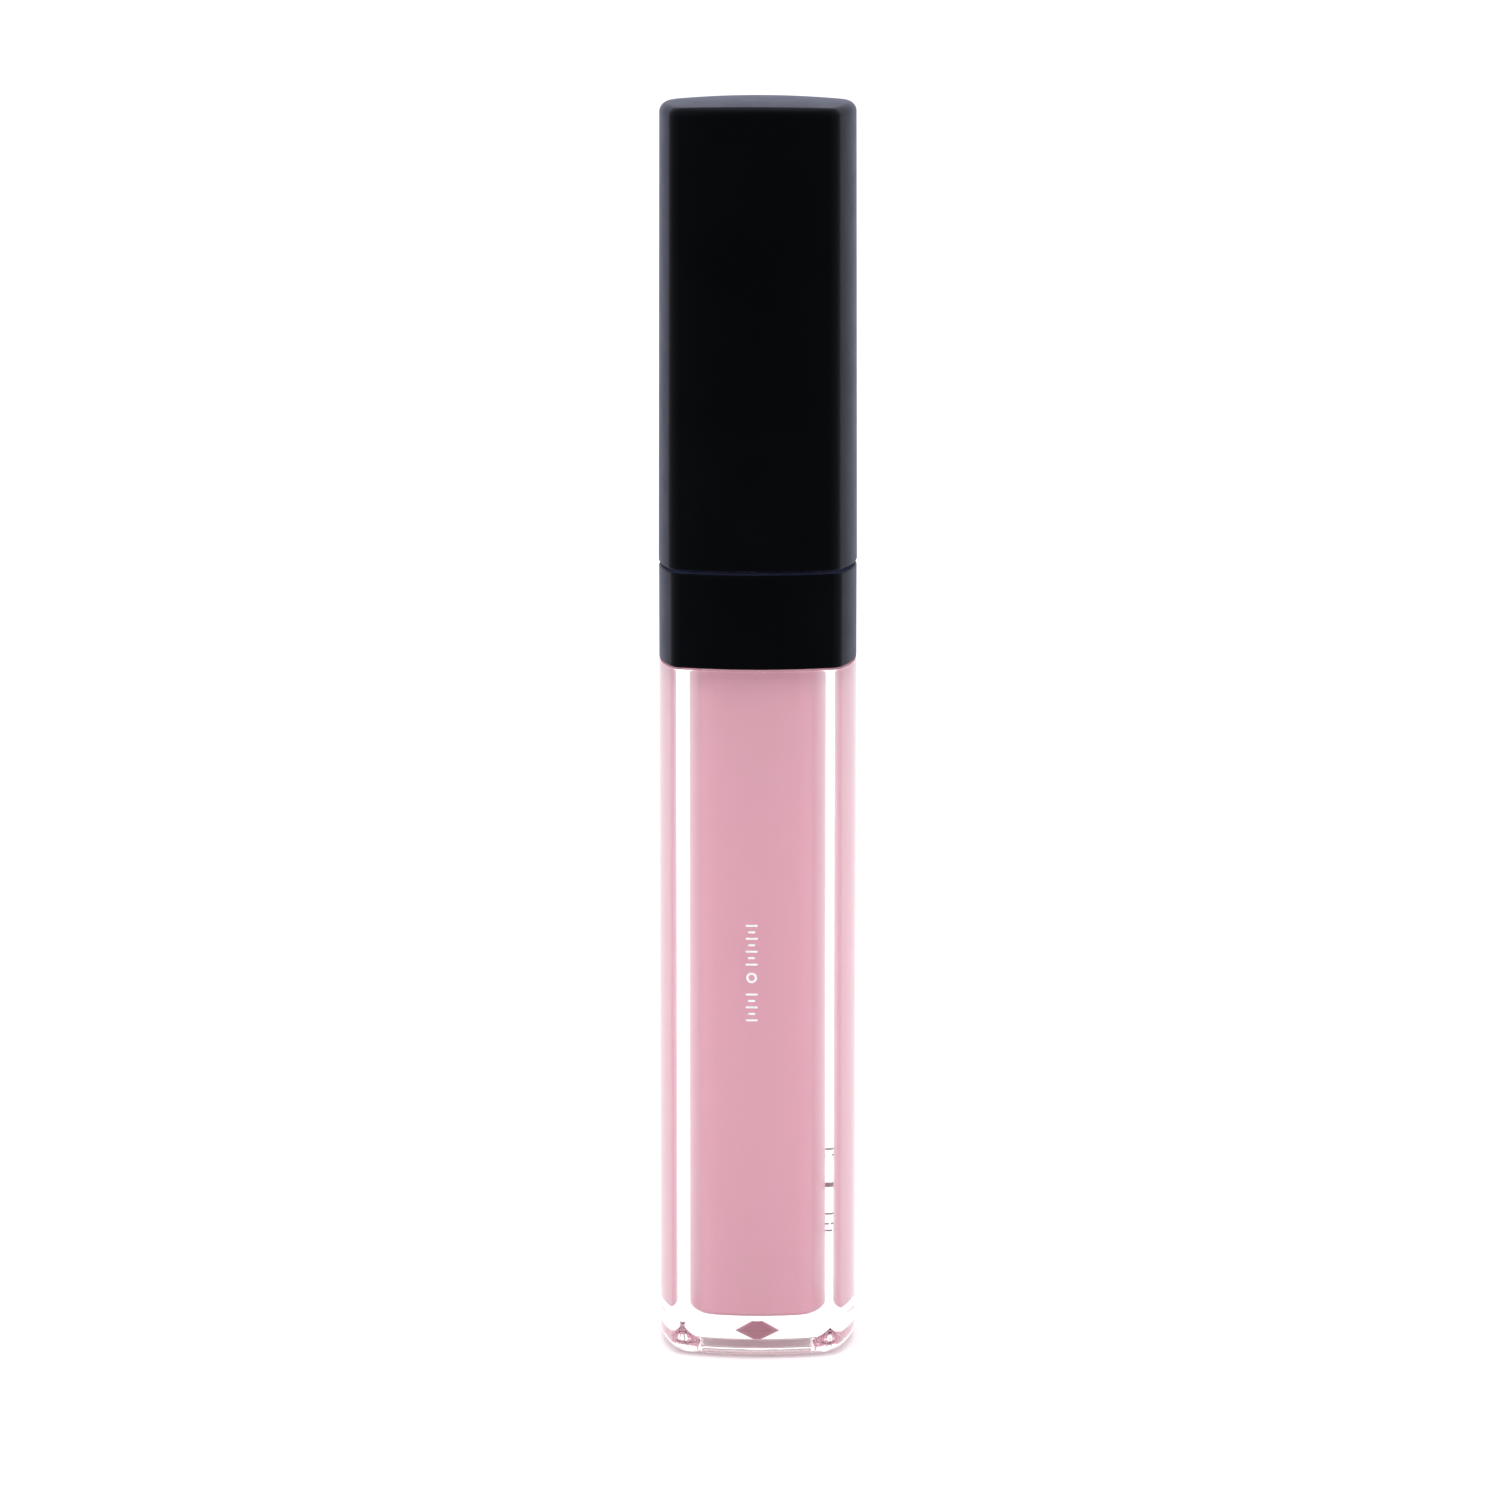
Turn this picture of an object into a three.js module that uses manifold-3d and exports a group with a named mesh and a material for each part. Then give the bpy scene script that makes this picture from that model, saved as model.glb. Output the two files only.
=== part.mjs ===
// Lip gloss tube: a square clear bottle with a black collar, and a screw cap that carries the wand.
// Millimetres, +Z up. Origin at the centre of the bottle's base. The front faces -Y.
import * as THREE from 'three';
import { mergeVertices } from 'three/addons/utils/BufferGeometryUtils.js';
import { ParametricGeometry } from 'three/addons/geometries/ParametricGeometry.js';
import Module from 'manifold-3d';

// ---------------------------------------------------------------- driving dimensions
// outer section: half width A, bowed faces of radius R, rounded corners of radius RC
const SECTION_R = 18, SECTION_RC = 1.6;
const GAP = 0.3;                     // gap between pieces that meet

const BOTTLE_A = 8.5, BOTTLE_TOP = 59.55, BASE_FILLET = 2.5, SHOULDER_FILLET = 0.3;
const CAVITY_A = 4.8, CAVITY_R = 12.5, CAVITY_RC = 1.7, CAVITY_FLOOR = 3.1, CAVITY_TOP = 60.1;
const RECESS_A = 5.2, RECESS_DEPTH = 1.1;      // hollowed underside inside a flat rim
const GATE_R = 1.7, GATE_HEIGHT = 0.8;       // small conical dimple in the middle of the underside, left by moulding
const PLUG_A = 7.0, PLUG_TOP = 62.2; // square step inside the collar, so the collar can't turn
const BOSS_R = 5.9, BOSS_TOP = 68.05, SNAP_BEAD_R = 6.45;
const NECK_R = 5.0, NECK_BORE_R = 3.95, NECK_TOP = 78.8;
const THREAD_PITCH = 3.0, THREAD_TURNS = 1.5, MALE_CREST_R = 5.55;

const COLLAR_A = 8.46, COLLAR_BOTTOM = 59.85, COLLAR_TOP = 67.9, COLLAR_WEB = 1.1, COLLAR_HOLE_R = 6.2;
const COLLAR_INNER_A = 7.35;

const CAP_A_BOTTOM = 8.48, CAP_A_TOP = 8.34, CAP_BOTTOM = 68.2, CAP_TOP = 107.6;
const CAP_SEAT_ANGLE = -0.024;       // where the thread stops: the closed cap sits 1.4 degrees short of square with the bottle
const CAP_CROWN = 0.0125, CAP_FILLET = 0.8;
const CAP_BORE_R = 7.4, CAP_STEP_Z = 83.3, CAP_UPPER_BORE_R = 6.9, CAP_CEILING = 105.4;

const INNER_R = 6.75, INNER_RIB_R = 7.12, INNER_BOTTOM = 68.8, INNER_TOP = 83.0;
const INNER_BORE_R = 6.15, INNER_CEILING = 81.5, FEMALE_CREST_R = 5.75;
const SOCKET_R = 3.0, SOCKET_BORE_R = 1.9, SOCKET_BORE_TOP = 89.3, SOCKET_TOP = 91.0;

const WIPER_FLANGE_R = 4.85, WIPER_TOP = 80.0, WIPER_R = 3.65, WIPER_BOTTOM = 66.4, WIPER_ORIFICE_R = 2.1;
const WASHER_OUTER_R = 5.85, WASHER_INNER_R = 2.4, WASHER_BOTTOM = 80.25, WASHER_TOP = 81.2;

const ROD_R = 1.6, ROD_TOP = 89.0, ROD_BOTTOM = 26.0, ROD_HOLE_R = 1.15, ROD_HOLE_TOP = 31.0;
const TIP_Z = 6.5, FLOCK_TOP = 24.0, FLOCK_HALF_WIDTH = 1.85, FLOCK_HALF_DEPTH = 1.45;
const GLOSS_TOP = 65.6, WELL_R = 2.3, WELL_FLOOR = 5.6;

// ---------------------------------------------------------------- solids
const wasm = await Module();
wasm.setup();

const closed = (source) => {
  // keeps only positions, merges shared vertices, drops slivers that have collapsed, and faces it outwards
  let g = source.clone();
  for (const name of Object.keys(g.attributes)) if (name !== 'position') g.deleteAttribute(name);
  g = mergeVertices(g, 1e-5);
  const p = g.attributes.position.array, index = g.index.array, kept = [];
  let volume = 0;
  const a = new THREE.Vector3(), b = new THREE.Vector3(), c = new THREE.Vector3();
  for (let i = 0; i < index.length; i += 3) {
    const [i0, i1, i2] = [index[i], index[i + 1], index[i + 2]];
    if (i0 === i1 || i1 === i2 || i2 === i0) continue;
    kept.push(i0, i1, i2);
    a.fromArray(p, i0 * 3); b.fromArray(p, i1 * 3); c.fromArray(p, i2 * 3);
    volume += a.dot(b.cross(c));
  }
  if (volume < 0) for (let i = 0; i < kept.length; i += 3) [kept[i + 1], kept[i + 2]] = [kept[i + 2], kept[i + 1]];
  return new wasm.Manifold(new wasm.Mesh({
    numProp: 3, vertProperties: new Float32Array(p), triVerts: new Uint32Array(kept),
  }));
};

const geometryOf = (solid) => {
  const mesh = solid.getMesh();
  const g = new THREE.BufferGeometry();
  const n = mesh.numProp, positions = new Float32Array(mesh.vertProperties.length / n * 3);
  for (let i = 0; i < positions.length / 3; i++) {
    for (let k = 0; k < 3; k++) positions[3 * i + k] = mesh.vertProperties[n * i + k];
  }
  g.setAttribute('position', new THREE.BufferAttribute(positions, 3));
  g.setIndex(new THREE.BufferAttribute(new Uint32Array(mesh.triVerts), 1));
  g.computeVertexNormals();
  return g;
};

// Square section with bowed faces: each face is an arc of radius R, each corner an arc of radius rc.
const FACE_STEPS = 3, CORNER_STEPS = 4;
const square = (a, R = SECTION_R, rc = SECTION_RC) => {
  const B = 2 * (R - a), C = (R - a) ** 2 - (R - rc) ** 2;
  const c = (-B + Math.sqrt(B * B - 8 * C)) / 4;         // corner centre lies at (c, -c)
  const th = Math.atan2(c, c + (R - a));
  const quarter = [];
  for (let i = 0; i < FACE_STEPS; i++) {
    const t = th * i / FACE_STEPS;
    quarter.push([R * Math.sin(t), (R - a) - R * Math.cos(t)]);
  }
  for (let i = 0; i <= CORNER_STEPS; i++) {
    const t = th + (Math.PI / 2 - 2 * th) * i / CORNER_STEPS;
    quarter.push([c + rc * Math.sin(t), -c - rc * Math.cos(t)]);
  }
  for (let i = FACE_STEPS - 1; i > 0; i--) {
    const t = th * i / FACE_STEPS;
    quarter.push([-((R - a) - R * Math.cos(t)), -R * Math.sin(t)]);
  }
  const points = [];
  for (let k = 0; k < 4; k++) {
    for (const [x, y] of quarter) {
      points.push(k === 0 ? [x, y] : k === 1 ? [-y, x] : k === 2 ? [-x, -y] : [y, -x]);
    }
  }
  return points;
};
const REFERENCE = square(BOTTLE_A);
const oval = (rx, ry = rx) => REFERENCE.map(([x, y]) => {
  const t = Math.atan2(y, x);
  return [rx * Math.cos(t), ry * Math.sin(t)];
});

// Closed loft through rings [z, points]; each ring may have its own z per point.
const loft = (rings) => {
  const n = REFERENCE.length, last = rings.length - 1;
  const zAt = (ring, i) => (typeof ring[0] === 'function' ? ring[0](...ring[1][i]) : ring[0]);
  const centreZ = (ring) => (typeof ring[0] === 'function' ? ring[0](0, 0) : ring[0]);
  return closed(new ParametricGeometry((u, v, target) => {
    const i = Math.round(u * n) % n, j = Math.round(v * (last + 2));
    if (j === 0) target.set(0, 0, centreZ(rings[0]));
    else if (j === last + 2) target.set(0, 0, centreZ(rings[last]));
    else target.set(rings[j - 1][1][i][0], rings[j - 1][1][i][1], zAt(rings[j - 1], i));
  }, n, last + 2));
};

// Solid of revolution about Z from [r, z] points that run from the axis back to the axis, or close on themselves.
const lathe = (profile, segments = 32) => {
  const g = new THREE.LatheGeometry(profile.map(([r, z]) => new THREE.Vector2(r, z)), segments);
  g.rotateX(Math.PI / 2);
  return closed(g);
};
const disc = (r, z0, z1, segments = 32) => lathe([[0, z0], [r, z0], [r, z1], [0, z1]], segments);

// Helical ridge about Z. It grows out of the wall at one end and dies back into it at the other.
const thread = (wallR, crestR, zStart, pitch, turns, stepsPerTurn = 24) => {
  const inward = Math.sign(crestR - wallR), rootR = wallR - 0.25 * inward, steps = Math.round(turns * stepsPerTurn);
  return closed(new ParametricGeometry((u, v, target) => {
    const k = Math.round(u * 4) % 4, s = Math.round(v * steps), angle = 2 * Math.PI * turns * s / steps;
    const grow = Math.min(1, s / 3, (steps - s) / 3);
    const crest = k === 1 || k === 2;
    const r = crest ? rootR + (crestR - rootR) * grow : rootR;
    const half = (crest ? 0.28 : 0.8) * grow * (k < 2 ? -1 : 1);
    target.set(r * Math.cos(angle), r * Math.sin(angle), zStart + pitch * turns * s / steps + half);
  }, 4, steps));
};

const union = (...solids) => solids.reduce((a, b) => a.add(b));

// ---------------------------------------------------------------- bottle and what it holds
const filletDown = (a, z, r, steps) => Array.from({ length: steps + 1 }, (_, i) => {
  const t = Math.PI / 2 * i / steps;                     // from the flat base out to the wall
  return [z + r - r * Math.cos(t), square(a - r + r * Math.sin(t), SECTION_R, SECTION_RC)];
});
const filletUp = (a, z, r, steps) => Array.from({ length: steps + 1 }, (_, i) => {
  const t = Math.PI / 2 * i / steps;                     // from the wall in to the flat top
  return [z - r + r * Math.sin(t), square(a - r + r * Math.cos(t), SECTION_R, SECTION_RC)];
});
const body = loft([...filletDown(BOTTLE_A, 0, BASE_FILLET, 6), ...filletUp(BOTTLE_A, BOTTLE_TOP, SHOULDER_FILLET, 2)]);
const plug = loft([[BOTTLE_TOP - 1, square(PLUG_A, 15, 1.5)], [PLUG_TOP - 0.4, square(PLUG_A, 15, 1.5)], [PLUG_TOP, square(PLUG_A - 0.4, 15, 1.4)]]);
const finish = lathe([
  [0, PLUG_TOP - 1], [BOSS_R, PLUG_TOP - 1], [BOSS_R, 65.3], [SNAP_BEAD_R, 65.7], [SNAP_BEAD_R, 65.95], [BOSS_R, 66.45],
  [BOSS_R, BOSS_TOP - 0.3], [BOSS_R - 0.3, BOSS_TOP], [NECK_R, BOSS_TOP], [NECK_R, NECK_TOP - 0.3], [NECK_R - 0.3, NECK_TOP], [0, NECK_TOP],
]);
const maleThread = thread(NECK_R, MALE_CREST_R, 70.9, THREAD_PITCH, THREAD_TURNS);
const cavityRings = (inset, floor, top) => [
  [floor, square(CAVITY_A - inset - 0.35, CAVITY_R - inset, CAVITY_RC - 0.35 - inset)],
  [floor + 0.1, square(CAVITY_A - inset - 0.1, CAVITY_R - inset, CAVITY_RC - 0.1 - inset)],
  [floor + 0.35, square(CAVITY_A - inset, CAVITY_R - inset, CAVITY_RC - inset)],
  [CAVITY_TOP, square(CAVITY_A - inset, CAVITY_R - inset, CAVITY_RC - inset)],
  [CAVITY_TOP + 0.9, square(CAVITY_A - inset - 0.3, CAVITY_R - inset, CAVITY_RC - inset)],
  [CAVITY_TOP + 2.7, oval(NECK_BORE_R - inset)],
  [top, oval(NECK_BORE_R - inset)],
];
const underside = union(
  loft([[-1, square(RECESS_A, SECTION_R, 1.0)], [RECESS_DEPTH, square(RECESS_A, SECTION_R, 1.0)]]),
  lathe([[0, RECESS_DEPTH - 0.3], [GATE_R, RECESS_DEPTH - 0.3], [GATE_R, RECESS_DEPTH], [0.35, RECESS_DEPTH + GATE_HEIGHT], [0, RECESS_DEPTH + GATE_HEIGHT]], 24),
);
const bottle = union(body, plug, finish, maleThread).subtract(loft(cavityRings(0, CAVITY_FLOOR, NECK_TOP + 1))).subtract(underside);

// The gloss fills the cavity up to the wiper, with an open well where the wand stands.
const glossFill = loft(cavityRings(GAP, CAVITY_FLOOR + GAP, GLOSS_TOP)).subtract(disc(WELL_R, WELL_FLOOR, GLOSS_TOP + 1, 24));

const wiper = lathe([
  [2.9, WIPER_TOP], [2.75, 78.0], [WIPER_ORIFICE_R + 0.1, 69.0], [WIPER_ORIFICE_R, 68.2], [WIPER_ORIFICE_R, WIPER_BOTTOM],
  [2.75, WIPER_BOTTOM], [3.0, 67.6], [WIPER_R, 70.2], [WIPER_R, 72.6], [3.8, 72.9], [WIPER_R, 73.4],
  [WIPER_R, 75.4], [3.8, 75.7], [WIPER_R, 76.2], [WIPER_R, NECK_TOP + 0.2], [WIPER_FLANGE_R, NECK_TOP + 0.2],
  [WIPER_FLANGE_R, WIPER_TOP - 0.2], [WIPER_FLANGE_R - 0.2, WIPER_TOP], [2.9, WIPER_TOP],
], 28);

const collar = loft([[COLLAR_BOTTOM, square(COLLAR_A - 0.15)], [COLLAR_BOTTOM + 0.15, square(COLLAR_A)],
  [COLLAR_TOP - 0.15, square(COLLAR_A)], [COLLAR_TOP, square(COLLAR_A - 0.15)]])
  .subtract(loft([[COLLAR_BOTTOM - 1, square(COLLAR_INNER_A, 15, 1.5)], [COLLAR_TOP - COLLAR_WEB, square(COLLAR_INNER_A, 15, 1.5)]]))
  .subtract(disc(COLLAR_HOLE_R, COLLAR_TOP - COLLAR_WEB - 1, COLLAR_TOP + 1));

// ---------------------------------------------------------------- cap assembly
const crown = (drop) => (x, y) => CAP_TOP - drop - CAP_CROWN * (x * x + y * y) / 2;
const capRings = [[CAP_BOTTOM, square(CAP_A_BOTTOM - 0.15)], [CAP_BOTTOM + 0.15, square(CAP_A_BOTTOM)]];
const CAP_FILLET_STEPS = 4;
for (let i = 0; i <= CAP_FILLET_STEPS; i++) {
  const t = Math.PI / 2 * i / CAP_FILLET_STEPS;
  capRings.push([crown(CAP_FILLET * (1 - Math.sin(t))), square(CAP_A_TOP - CAP_FILLET * (1 - Math.cos(t)), SECTION_R, SECTION_RC)]);
}
for (const a of [5.0, 2.5]) capRings.push([crown(0), square(a, SECTION_R * a / CAP_A_TOP, SECTION_RC * a / CAP_A_TOP)]);
const capShell = loft(capRings)
  .subtract(disc(CAP_BORE_R, CAP_BOTTOM - 1, CAP_STEP_Z))
  .subtract(lathe([[0, CAP_STEP_Z - 1], [CAP_UPPER_BORE_R, CAP_STEP_Z - 1], [CAP_UPPER_BORE_R, CAP_CEILING - 0.8],
    [CAP_UPPER_BORE_R - 0.8, CAP_CEILING], [0, CAP_CEILING]]));

const ribs = Array.from({ length: 12 }, (_, i) => {
  const g = new THREE.BoxGeometry(0.9, 0.8, 11.6);
  g.translate(INNER_RIB_R - 0.45, 0, 75.6);
  g.rotateZ((i + 0.5) * Math.PI / 6);
  return closed(g);
});
const innerCap = union(
  lathe([[0, INNER_BOTTOM], [INNER_R, INNER_BOTTOM], [INNER_R, INNER_TOP - 0.9], [INNER_RIB_R, INNER_TOP - 0.6], [INNER_RIB_R, INNER_TOP],
    [SOCKET_R + 0.3, INNER_TOP], [SOCKET_R, INNER_TOP + 0.3], [SOCKET_R, SOCKET_TOP - 0.4], [SOCKET_R - 0.4, SOCKET_TOP], [0, SOCKET_TOP]]),
  ...ribs,
).subtract(disc(INNER_BORE_R, INNER_BOTTOM - 1, INNER_CEILING))
  .subtract(disc(SOCKET_BORE_R, INNER_CEILING - 1, SOCKET_BORE_TOP, 24))
  .add(thread(INNER_BORE_R, FEMALE_CREST_R, 72.4, THREAD_PITCH, THREAD_TURNS));

const sealWasher = lathe([[WASHER_INNER_R, WASHER_BOTTOM], [WASHER_OUTER_R, WASHER_BOTTOM], [WASHER_OUTER_R, WASHER_TOP],
  [WASHER_INNER_R, WASHER_TOP], [WASHER_INNER_R, WASHER_BOTTOM]]);

const wandRod = lathe([[0, ROD_HOLE_TOP], [ROD_HOLE_R, ROD_HOLE_TOP], [ROD_HOLE_R, ROD_BOTTOM], [ROD_R - 0.1, ROD_BOTTOM],
  [ROD_R, ROD_BOTTOM + 0.2], [ROD_R, ROD_TOP - 0.3], [ROD_R - 0.3, ROD_TOP], [0, ROD_TOP]], 24);

const applicatorCore = loft([
  [13.8, oval(0.75, 0.5)], [14.6, oval(1.0, 0.68)], [23.4, oval(1.0, 0.68)], [24.6, oval(1.15, 1.15)], [25.7, oval(1.15, 1.15)],
  [25.7, oval(0.85, 0.85)], [30.7, oval(0.85, 0.85)],
]);

const slant = new THREE.BoxGeometry(8, 6, 16);           // flat, slanted face of the doe-foot tip
slant.translate(0, -3, 0);
slant.rotateX(Math.atan2(2.45, 6.5));
slant.translate(0, -0.2, TIP_Z + 3.1);
const applicatorFlock = loft([
  [TIP_Z, oval(0.55, 0.4)], [TIP_Z + 0.25, oval(1.05, 0.8)], [TIP_Z + 0.8, oval(1.5, 1.12)], [TIP_Z + 2.0, oval(1.78, 1.36)],
  [TIP_Z + 4.5, oval(FLOCK_HALF_WIDTH, FLOCK_HALF_DEPTH)], [21.0, oval(FLOCK_HALF_WIDTH, FLOCK_HALF_DEPTH)],
  [23.2, oval(1.75, 1.45)], [FLOCK_TOP, oval(1.6, 1.45)],
]).subtract(closed(slant)).subtract(loft([[13.5, oval(1.0, 0.75)], [14.2, oval(1.28, 0.95)], [FLOCK_TOP - 0.9, oval(1.28, 0.95)], [FLOCK_TOP + 0.5, oval(1.42, 1.35)]]));

// ---------------------------------------------------------------- assembly
const piece = (name, solid, colour, roughness, options = {}) => {
  const mesh = new THREE.Mesh(geometryOf(solid), new THREE.MeshStandardMaterial({ color: colour, roughness, metalness: 0, ...options }));
  mesh.name = name;
  return mesh;
};

const container = new THREE.Group();
container.add(
  piece('bottle', bottle, 0xf4f6f8, 0.06, { transparent: true, opacity: 0.3 }),
  piece('gloss_fill', glossFill, 0xdea4b4, 0.22),
  piece('wiper', wiper, 0xf2f2ee, 0.45),
  piece('collar', collar, 0x0d0e10, 0.5),
);
const closure = new THREE.Group();
closure.rotation.z = CAP_SEAT_ANGLE;
closure.add(
  piece('cap_shell', capShell, 0x0d0e10, 0.5),
  piece('inner_cap', innerCap, 0x141416, 0.4),
  piece('seal_washer', sealWasher, 0xe8e8e4, 0.7),
  piece('wand_rod', wandRod, 0x141416, 0.35),
  piece('applicator_core', applicatorCore, 0xf0e6e2, 0.5),
  piece('applicator_flock', applicatorFlock, 0xf3dfe2, 0.95),
);

const group = new THREE.Group();
group.add(container, closure);
export default group;
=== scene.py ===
import math

import bpy
import numpy as np
from mathutils import Matrix, Vector


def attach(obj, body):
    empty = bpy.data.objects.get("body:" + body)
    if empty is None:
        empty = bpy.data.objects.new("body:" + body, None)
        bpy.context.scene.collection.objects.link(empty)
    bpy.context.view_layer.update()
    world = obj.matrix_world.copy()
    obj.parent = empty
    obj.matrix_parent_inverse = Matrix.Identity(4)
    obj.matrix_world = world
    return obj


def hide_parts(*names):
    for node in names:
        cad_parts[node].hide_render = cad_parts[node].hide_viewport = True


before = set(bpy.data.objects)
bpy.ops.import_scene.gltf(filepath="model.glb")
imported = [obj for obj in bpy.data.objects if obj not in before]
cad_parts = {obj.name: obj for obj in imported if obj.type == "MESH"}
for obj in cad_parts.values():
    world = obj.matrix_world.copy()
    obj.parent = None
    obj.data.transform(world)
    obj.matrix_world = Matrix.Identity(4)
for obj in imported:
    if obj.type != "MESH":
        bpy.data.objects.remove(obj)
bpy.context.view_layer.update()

MM = 0.001
rng = np.random.default_rng(11)

# ------------------------------------------------------------------ sections and profiles (millimetres)
NF, NC = 16, 20


def square(a, R=18.0, rc=1.6):
    """Square of half width a with bowed faces of radius R and corners of radius rc, anticlockwise from the front."""
    B, C = 2 * (R - a), (R - a) ** 2 - (R - rc) ** 2
    c = (-B + math.sqrt(B * B - 8 * C)) / 4
    th = math.atan2(c, c + (R - a))
    t1 = th * np.arange(NF) / NF
    t2 = th + (math.pi / 2 - 2 * th) * np.arange(NC + 1) / NC
    t3 = th * np.arange(NF - 1, 0, -1) / NF
    q = np.concatenate([
        np.c_[R * np.sin(t1), (R - a) - R * np.cos(t1)],
        np.c_[c + rc * np.sin(t2), -c - rc * np.cos(t2)],
        np.c_[-((R - a) - R * np.cos(t3)), -R * np.sin(t3)],
    ])
    return np.concatenate([q, np.c_[-q[:, 1], q[:, 0]], -q, np.c_[q[:, 1], -q[:, 0]]])


REF = square(8.5)
REF_ANGLE = np.arctan2(REF[:, 1], REF[:, 0])


def circle(r):
    return np.c_[r * np.cos(REF_ANGLE), r * np.sin(REF_ANGLE)]


def cavity_section(a):
    return square(a, 12.5 - (4.8 - a), 1.7 - 0.3 * (4.8 - a))


def helix_ridge(angle, z, z_start, pitch, turns, height, half_crest=0.28, half_root=0.8):
    """Height of a screw thread's ridge at each angle, for one z."""
    best = np.zeros_like(angle)
    a0 = np.mod(angle, 2 * np.pi)
    for k in range(int(math.ceil(turns)) + 1):
        phi = a0 + 2 * np.pi * k
        inside = phi <= 2 * np.pi * turns
        centre = z_start + pitch * phi / (2 * np.pi)
        d = np.abs(z - centre)
        s = np.clip((half_root - d) / (half_root - half_crest), 0, 1)
        s = s * s * (3 - 2 * s)
        grow = np.clip(np.minimum(phi, 2 * np.pi * turns - phi) / 0.7, 0, 1)
        grow = grow * grow * (3 - 2 * grow)
        best = np.maximum(best, np.where(inside, height * s * grow, 0))
    return best


def neck_ring(r, z):
    rr = r + helix_ridge(REF_ANGLE, z, 70.9, 3.0, 1.5, 0.55)
    return np.c_[rr * np.cos(REF_ANGLE), rr * np.sin(REF_ANGLE)]


def nut_ring(r, z):
    rr = r - helix_ridge(REF_ANGLE, z, 72.4, 3.0, 1.5, 0.4)
    return np.c_[rr * np.cos(REF_ANGLE), rr * np.sin(REF_ANGLE)]


def ribbed_ring(r, z):
    """Outside of the inner cap: twelve upright ribs."""
    u = np.mod(REF_ANGLE / (np.pi / 6), 1.0) - 0.5
    w = np.abs(u) * (np.pi / 6) * 6.9
    s = np.clip((0.62 - w) / 0.2, 0, 1)
    up = np.clip((z - 69.7) / 0.25, 0, 1) * np.clip((81.5 - z) / 0.25, 0, 1)
    rr = r + 0.36 * s * s * (3 - 2 * s) * up
    return np.c_[rr * np.cos(REF_ANGLE), rr * np.sin(REF_ANGLE)]


KINDS = {
    "body": lambda a, z: square(a),
    "plug": lambda a, z: square(a, 15.0, 1.5),
    "cav": lambda a, z: cavity_section(a),
    "rd": lambda a, z: circle(a),
    "neck": neck_ring,
    "nut": nut_ring,
    "rib": ribbed_ring,
}


def rounded(points, closed=False, support=0.05):
    """Rounds the corners of a profile [(kind, a, z, radius)], and holds its flats flat with a close ring at each end."""
    out, n = [], len(points)
    for i, p in enumerate(points):
        kind, a, z = p[:3]
        f = p[3] if len(p) > 3 else 0
        if f <= 0 or (not closed and i in (0, n - 1)):
            out.append((kind, a, z))
            continue
        p0 = np.array(points[i - 1][1:3], float)
        p1 = np.array([a, z], float)
        p2 = np.array(points[(i + 1) % n][1:3], float)
        d0, d1 = p0 - p1, p2 - p1
        l0, l1 = np.linalg.norm(d0), np.linalg.norm(d1)
        d0, d1 = d0 / l0, d1 / l1
        alpha = math.acos(float(np.clip(d0 @ d1, -1, 1)))
        if alpha > math.pi - 0.02:
            out.append((kind, a, z))
            continue
        t = min(f / math.tan(alpha / 2), 0.47 * l0, 0.47 * l1)
        r = t * math.tan(alpha / 2)
        bis = (d0 + d1) / np.linalg.norm(d0 + d1)
        centre = p1 + bis * r / math.sin(alpha / 2)
        start, end = p1 + d0 * t, p1 + d1 * t
        phi = math.pi - alpha
        steps = max(3, int(math.ceil(math.degrees(phi) / 11)))
        if l0 > t + 2.5 * support:
            q = start + d0 * support
            out.append((kind, q[0], q[1]))
        for k in range(steps + 1):
            u = k / steps
            q = centre + (math.sin((1 - u) * phi) * (start - centre) + math.sin(u * phi) * (end - centre)) / math.sin(phi)
            out.append((kind, q[0], q[1]))
        if l1 > t + 2.5 * support:
            q = end + d1 * support
            out.append((kind, q[0], q[1]))
    return out


def add_object(name, verts, faces, material=None, smooth=True):
    mesh = bpy.data.meshes.new(name)
    mesh.from_pydata([tuple(v) for v in verts], [], [tuple(f) for f in faces])
    mesh.validate()
    mesh.update()
    if smooth:
        mesh.polygons.foreach_set("use_smooth", [True] * len(mesh.polygons))
    obj = bpy.data.objects.new(name, mesh)
    bpy.context.scene.collection.objects.link(obj)
    if material:
        mesh.materials.append(material)
    return obj


def skin(rings, loop=False):
    """Faces over rings (k, n, 3) in millimetres, ends closed to a point on their own centres, faces out."""
    rings = np.asarray(rings, float)
    k, n, _ = rings.shape
    verts = list(rings.reshape(-1, 3) * MM)
    faces = []
    idx = np.arange(k * n).reshape(k, n)
    for j in range(k if loop else k - 1):
        a, b = idx[j], idx[(j + 1) % k]
        for i in range(n):
            i2 = (i + 1) % n
            faces.append((a[i], a[i2], b[i2], b[i]))
    if not loop:
        for ring, order in ((idx[0], -1), (idx[-1], 1)):
            verts.append(np.mean([verts[i] for i in ring], axis=0))
            c = len(verts) - 1
            for i in range(n):
                i2 = (i + 1) % n
                faces.append((ring[i], ring[i2], c) if order == 1 else (ring[i2], ring[i], c))
    return verts, faces


def loft(name, profile, material, closed=False, z_of=None):
    rings = []
    for kind, a, z in rounded(profile, closed=closed):
        if a < 1e-6:
            continue
        xy = KINDS[kind](a, z) if isinstance(kind, str) else kind(a, z)
        zz = np.full(len(xy), z)
        if z_of:
            zz = z_of(xy, zz)
        rings.append(np.c_[xy, zz])
    verts, faces = skin(rings, loop=closed)
    return add_object(name, verts, faces, material)


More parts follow.
